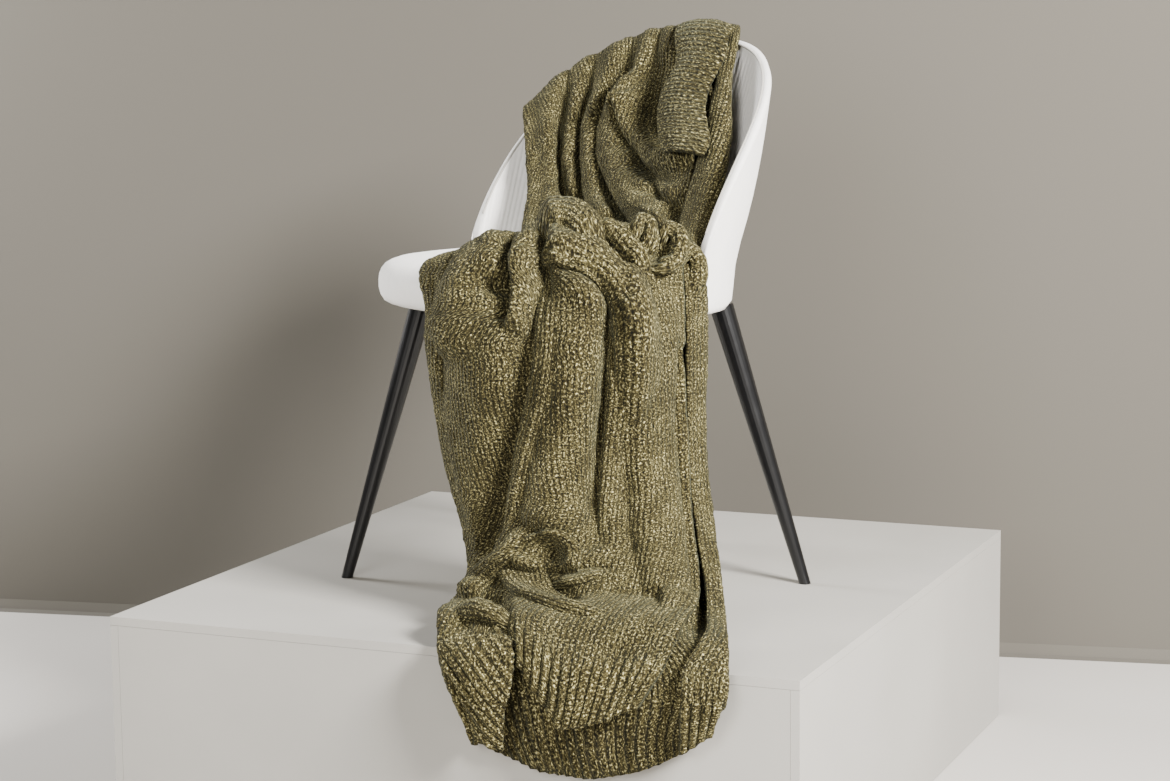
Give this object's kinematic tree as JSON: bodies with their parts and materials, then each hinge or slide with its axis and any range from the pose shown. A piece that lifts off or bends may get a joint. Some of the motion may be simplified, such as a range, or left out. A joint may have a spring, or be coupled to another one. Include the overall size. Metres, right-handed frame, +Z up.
{
  "type": "chenille bedspread draped over a chair on a plinth",
  "caption": "Soft knitted chenille cover with ribbed hems, hung over an upholstered chair so that it bunches on the seat and falls over the front edge of a square plinth",
  "frame": {"origin": "centre of the plinth's flat underside", "axes": "X to the right along the plinth's front edge, Y from the front edge to the back, Z up"},
  "size_m": [1, 1.0519, 1.1113],
  "materials": {
    "blanket": "mottled olive chenille knit with a soft pile",
    "chair_fabric": "off-white matt upholstery",
    "chair_leg": "black satin",
    "plinth_paint": "fibreboard with matt warm grey paint"
  },
  "bodies": {
    "root": {"blanket": "blanket", "seat": "chair_fabric", "chair_shell": "chair_fabric", "leg_back": "chair_leg", "leg_left": "chair_leg", "leg_front": "chair_leg", "leg_right": "chair_leg", "plinth_top": "plinth_paint", "plinth_left": "plinth_paint", "plinth_right": "plinth_paint", "plinth_front": "plinth_paint", "plinth_back": "plinth_paint", "plinth_base": "plinth_paint"}
  },
  "joints": []
}
